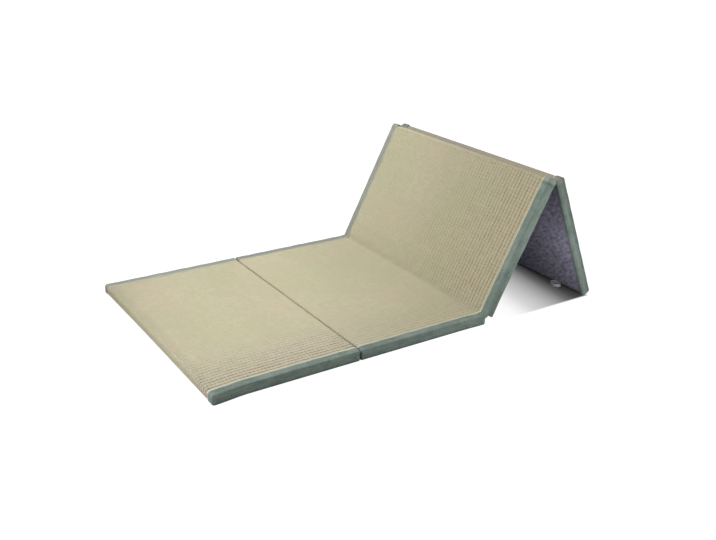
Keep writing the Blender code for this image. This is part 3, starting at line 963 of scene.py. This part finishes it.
def rush_matting(groups):
    """Rush stems laid across the mat, raised between warp lines into ribs along it."""
    material, tree, shader = new_material("rush matting", 0.62, sheen=0.05, specular=0.25)
    place, relief = held(tree, "flat", "Vector"), held(tree, "relief")
    run, across, end_darkening = place.split()
    rib_number, in_rib = ((across + BODY_HALF) / RIB_PITCH).whole_and_part()
    from_crown = abs(in_rib - 0.5)

    wander = place.noise(40.0, 1.0) - 0.5
    stem_number, in_stem = (run / STEM_PITCH + ((rib_number % 2.0) * 0.5 + wander * 1.4)).whole_and_part()
    stem_round = in_stem.arch()
    stem_tone, piece_tone = chance(stem_number, 0.0, 1.5), chance(stem_number, rib_number, 4.5)
    bunch = run / BUNCH_PITCH + chance(rib_number, 2.0, 8.5) * 9.0 + wander * 0.6
    bunch_number, in_bunch = bunch.whole_and_part()

    tinted = chance(bunch_number, rib_number, 2.5).blend(RUSH_DEEP, RUSH_PALE)
    tinted = use(groups["drift"], place, 6.0, 0.65)["Value"].blend(tinted, RUSH_PINK)
    tinted = use(groups["drift"], place.shifted((4.0, 2.0, 0.0)), 4.0, 0.50)["Value"].blend(tinted, RUSH_GREEN)
    # The end darkening: grey-brown on end faces and turned-under lips, then from 1 to 2 near black painted shade,
    # which lies on the lip at the foot of panel 4
    tinted = end_darkening.math("MULTIPLY", 0.85, clamp=True).blend(tinted, RUSH_END_GREY_BROWN)
    tinted = end_darkening.ease(1.0, 1.8, 0.0, 0.9).blend(tinted, RUSH_PAINTED_SHADE)
    tinted = held(tree, "grey").blend(tinted, RUSH_GREY)
    tinted = held(tree, "warm").blend(tinted, RUSH_WARM)

    # Stem and piece tones vary at random; stem_round adds painted shade at the sides of each round stem, and higher
    # ribs add contrast and a painted shade of 0.08 times the relief
    tone = stem_tone * 0.07 + piece_tone * 0.09 + stem_round * 0.08
    tone = tone * (relief * 0.55 + 0.50) - relief * 0.08
    # Darker gaps between stem bunches, and painted shade in the rib valleys in patches, both more where the ribs
    # stand higher
    broken = abs(in_bunch - 0.5).ease(0.36, 0.5) * 0.20 * from_crown.ease(0.1, 0.4, 0.45, 1.0)
    patches = vector(run, across * 1.6).noise(34.0, 2.0).ease(0.38, 0.62, 0.40, 1.20)
    gaps_and_valley_shade = (broken + from_crown.ease(0.30, 0.5) * patches * 0.27) * relief
    # The tone attribute brings in the rush's painted light and shade
    feed(shader["Base Color"], tinted.scaled((tone + 1.035 - gaps_and_valley_shade) * held(tree, "tone")))
    feed(shader["Roughness"], piece_tone * 0.2 + 0.52)

    fibre = vector(run * 9.0, across).noise(900.0, 2.0)
    height = stem_round * from_crown.ease(0.5, 0.3, 0.4, 1.0) + fibre * 0.25 + piece_tone * 0.6
    feed(shader["Normal"], height.bump(0.00035, 0.9))
    return material


BINDING_THREAD_PITCH = 0.0011
CLOTH_DEEP, CLOTH_LIGHT, CLOTH_BLUE = (0.118, 0.178, 0.146), (0.268, 0.314, 0.256), (0.190, 0.245, 0.245)
THREAD_DEEP, THREAD_LIGHT, FIBRE_LIGHT = (0.18, 0.245, 0.235), (0.25, 0.29, 0.25), (0.34, 0.37, 0.33)
SELVEDGE_DEEP, SELVEDGE_LIGHT, SELVEDGE_RUBBED = (0.38, 0.40, 0.32), (0.50, 0.51, 0.41), (0.76, 0.78, 0.64)
CLOTH_FADED = (0.35, 0.31, 0.245)


def binding_cloth(groups):
    """Green-grey cotton cloth with a pale selvedge along its inner edge."""
    material, tree, shader = new_material("binding cloth", 0.88, sheen=0.12, specular=0.2)
    place = held(tree, "flat", "Vector")
    _, across, under = place.split()
    weave = use(groups["weave"], place, BINDING_THREAD_PITCH, 0.10)
    fibres = use(groups["fibres"], place, 420.0, 0.16, 3.0)
    cloth = use(groups["drift"], place, 22.0, 1.0)["Value"].blend(CLOTH_DEEP, CLOTH_LIGHT)
    cloth = use(groups["drift"], place.shifted((3.0, 5.0, 0.0)), 9.0, 0.5)["Value"].blend(cloth, CLOTH_BLUE)
    cloth = (weave["Thread tone"] * 0.4).blend(cloth, THREAD_DEEP)
    cloth = (weave["Warp"] * 0.25).blend(cloth, THREAD_LIGHT)
    cloth = (fibres["Mask"] * 0.4).blend(cloth, FIBRE_LIGHT)
    selvedge = weave["Thread tone"].blend(SELVEDGE_DEEP, SELVEDGE_LIGHT)
    selvedge = held(tree, "pale").blend(selvedge, SELVEDGE_RUBBED)
    past_flange = across.ease(TOP_FLANGE - 0.0006, TOP_FLANGE + 0.0002)
    cloth = (past_flange * under.ease(0.3, 0.6, 1.0, 0.0)).blend(cloth, selvedge)
    cloth = held(tree, "fade").blend(cloth, CLOTH_FADED)
    # Painted shade between the woven threads, from their height, times the painted light and shade held as the
    # binding's tone
    feed(shader["Base Color"], cloth.scaled(weave["Height"].ease(0.1, 0.8, 0.86, 1.2) * held(tree, "tone")))
    height = weave["Height"] + place.noise(700.0, 2.0) * 0.35
    feed(shader["Normal"], height.bump(0.00022, 0.8))
    return material


FELT_DEEP, FELT_LIGHT = (0.150, 0.138, 0.205), (0.335, 0.318, 0.410)
# The felt's mixed fibres: (where the tone begins, colour), and its two sorts: (scale, share, stretch, strength)
FIBRE_TONES = (
    (0.0, (0.52, 0.52, 0.60)), (0.30, (0.36, 0.20, 0.34)), (0.45, (0.14, 0.18, 0.34)),
    (0.62, (0.50, 0.26, 0.24)), (0.72, (0.22, 0.32, 0.30)), (0.84, (0.72, 0.70, 0.68)),
)
FIBRE_SORTS = ((190.0, 0.30, 1.2, 0.75), (330.0, 0.26, 0.8, 0.6))


def fibre_felt(groups):
    """Dark felt pressed from mixed fibres, with flecks of every colour in it."""
    material, tree, shader = new_material("fibre felt", 0.98, sheen=0.25, specular=0.1)
    place = held(tree, "flat", "Vector")
    felt = use(groups["drift"], place, 88.0, 1.0)["Value"].blend(FELT_DEEP, FELT_LIGHT)
    for scale, share, stretch, strength in FIBRE_SORTS:
        fibres = use(groups["fibres"], place, scale, share, stretch)
        felt = (fibres["Mask"] * strength).blend(felt, fibres["Tone"].ramp(FIBRE_TONES, "CONSTANT"))
    feed(shader["Base Color"], felt)
    height = place.noise(260.0, 4.0, 0.65) + place.noise(1100.0, 2.0) * 0.4
    feed(shader["Normal"], height.bump(0.0012, 0.9))
    return material


TAPE_THREAD_PITCH = 0.0010
TAPE_DEEP, TAPE_LIGHT = (0.46, 0.46, 0.48), (0.60, 0.60, 0.62)


def woven_tape(groups):
    """Light grey tape of the loop."""
    material, tree, shader = new_material("woven tape", 0.8, sheen=0.1, specular=0.25)
    weave = use(groups["weave"], held(tree, "flat", "Vector"), TAPE_THREAD_PITCH, 0.05)
    tape = weave["Thread tone"].blend(TAPE_DEEP, TAPE_LIGHT)
    # Painted shade between the woven threads, from their height
    feed(shader["Base Color"], tape.scaled(weave["Height"].ease(0.1, 0.8, 0.65, 1.0)))
    feed(shader["Normal"], weave["Height"].bump(0.0003, 0.9))
    return material


# Camera, floor and light

CAMERA_AZIMUTH = math.radians(-33.0)
CAMERA_ELEVATION = math.radians(22.635)
CAMERA_ROLL = math.radians(0.924)
CAMERA_DISTANCE = 3.371
CAMERA_TARGET = Vector((0.1431, 0.1695, 0.0))
CAMERA_LENS = 43.845


def make_camera():
    azimuth, elevation, roll = CAMERA_AZIMUTH, CAMERA_ELEVATION, CAMERA_ROLL
    back = Vector((
        math.sin(azimuth) * math.cos(elevation), -math.cos(azimuth) * math.cos(elevation), math.sin(elevation),
    ))
    right = Vector((math.cos(azimuth), math.sin(azimuth), 0.0))
    up = back.cross(right)
    rolled_right = math.cos(roll) * right + math.sin(roll) * up
    rolled_up = -math.sin(roll) * right + math.cos(roll) * up
    camera = bpy.data.objects.new("photo_camera", bpy.data.cameras.new("photo_camera"))
    camera.data.lens = CAMERA_LENS
    camera.data.sensor_width = 36.0
    camera.data.sensor_fit = "HORIZONTAL"
    turned = Matrix((rolled_right, rolled_up, back)).transposed().to_4x4()
    camera.matrix_world = Matrix.Translation(CAMERA_TARGET + back * CAMERA_DISTANCE) @ turned
    bpy.context.scene.collection.objects.link(camera)
    bpy.context.scene.camera = camera


# How white the paper floor looks under the tent: (x in the row frame, glow). The shade begins nearer the free
# end at the near side, and ends a little past the foot of panel 4 and beside the mat
FLOOR_GLOW = (
    (0.30, 1.00), (0.40, 0.92), (0.44, 0.80), (0.48, 0.62), (0.52, 0.51), (0.56, 0.39),
    (0.60, 0.25), (0.64, 0.09), (0.68, 0.012), (0.72, 0.0),
)
GLOW_LENGTH = 0.8
GLOW_SLANT = 0.14
SHADE_END = (0.722, 0.745)
SHADE_SIDE = (WIDTH / 2, WIDTH / 2 + 0.014)
FLOOR_HALF = 14.0
WHITE = (1.0, 1.0, 1.0)


def make_floor():
    """Paper that looks white all round and fades to shade under the tent, towards the foot of panel 4."""
    mesh = bpy.data.meshes.new("studio_floor")
    corners = [(x * FLOOR_HALF, y * FLOOR_HALF, 0) for x, y in ((-1, -1), (1, -1), (1, 1), (-1, 1))]
    mesh.from_pydata(corners, [], [(0, 1, 2, 3)])
    floor = bpy.data.objects.new("studio_floor", mesh)
    bpy.context.scene.collection.objects.link(floor)
    material, tree, shader = new_material("white paper", 1.0, sheen=0.0, specular=0.0)
    seen = source(tree, "LightPath", "Is Camera Ray")
    x, y, _ = source(tree, "TexCoord", "Object").split()
    stops = [(start / GLOW_LENGTH, (glow, glow, glow)) for start, glow in FLOOR_GLOW]
    glow = ((x - (y + WIDTH / 2) * GLOW_SLANT) / GLOW_LENGTH).ramp(stops)
    outside = abs(y).ease(*SHADE_SIDE).math("MAXIMUM", x.ease(*SHADE_END))
    feed(shader["Base Color"], seen.blend((0.42, 0.42, 0.42), (0.15, 0.15, 0.15)))
    feed(shader["Emission Color"], WHITE)
    feed(shader["Emission Strength"], seen * outside.pick(glow, 1.0))
    mesh.materials.append(material)


def make_area_light(name, place, aim, size, power):
    data = bpy.data.lights.new(name, "AREA")
    data.shape = "SQUARE"
    data.size = size
    data.energy = power
    light = bpy.data.objects.new(name, data)
    light.location = place
    light.rotation_euler = (Vector(aim) - Vector(place)).to_track_quat("-Z", "Y").to_euler()
    light.visible_camera = False
    bpy.context.scene.collection.objects.link(light)


# Area lights: (name, place, aim, size, power)
LIGHTS = (
    ("high_softbox", (-0.5, 0.75, 2.15), (-0.45, 0.65, 0.0), 1.5, 46.0),
    ("right_fill", (0.85, -1.4, 0.12), (0.4, -0.4, 0.12), 0.4, 7.5),
    ("left_fill", (-1.6, -0.7, 0.12), (-0.7, -0.2, 0.02), 0.4, 2.8),
    ("end_fill", (-1.7, 0.05, 0.10), (-0.74, 0.0, 0.02), 0.2, 2.7),
    ("tent_lamp", (0.49, -0.47, 0.14), (0.70, -0.36, 0.17), 0.14, 0.13),
)
# How bright the white room is: as a light, and as the camera sees it
ROOM_LIGHT, ROOM_SEEN = 0.32, 1.0


def make_light():
    world = bpy.data.worlds.new("studio")
    bpy.context.scene.world = world
    world.use_nodes = True
    background = world.node_tree.nodes["Background"].inputs
    feed(background["Color"], WHITE)
    seen = source(world.node_tree, "LightPath", "Is Camera Ray")
    feed(background["Strength"], seen.pick(ROOM_LIGHT, ROOM_SEEN))
    for light in LIGHTS:
        make_area_light(*light)
    bpy.context.scene.view_settings.view_transform = "Standard"
    bpy.context.scene.view_settings.look = "None"


make_camera()
make_floor()
make_light()

GROUPS = {"drift": make_drift_group(), "weave": make_weave_group(), "fibres": make_fibre_group()}
RUSH = rush_matting(GROUPS)
CLOTH = binding_cloth(GROUPS)
FELT = fibre_felt(GROUPS)
TAPE = woven_tape(GROUPS)

pads = {
    (1,): rush_pad("matting_1", "rush_pad_1", (1,), single_pad_corners(1), 11, RUSH),
    (2, 3): rush_pad("matting_2_3", "rush_pad_2_3", (2, 3), crease_pad_corners(), 23, RUSH),
    (4,): rush_pad("matting_4", "rush_pad_4", (4,), single_pad_corners(4), 41, RUSH),
}
for panels, pad in pads.items():
    for panel in panels:
        for side in (-1, 1):
            cloth = edge_binding(panel, side, 100 + 10 * panel + side, CLOTH)

flat_felt = felt_back("felt_1_2", "felt_back_1_2", 61, FELT)
tent_felt = felt_back("felt_3_4", "felt_back_3_4", 62, FELT)

loop = loop_of_tape(TAPE)
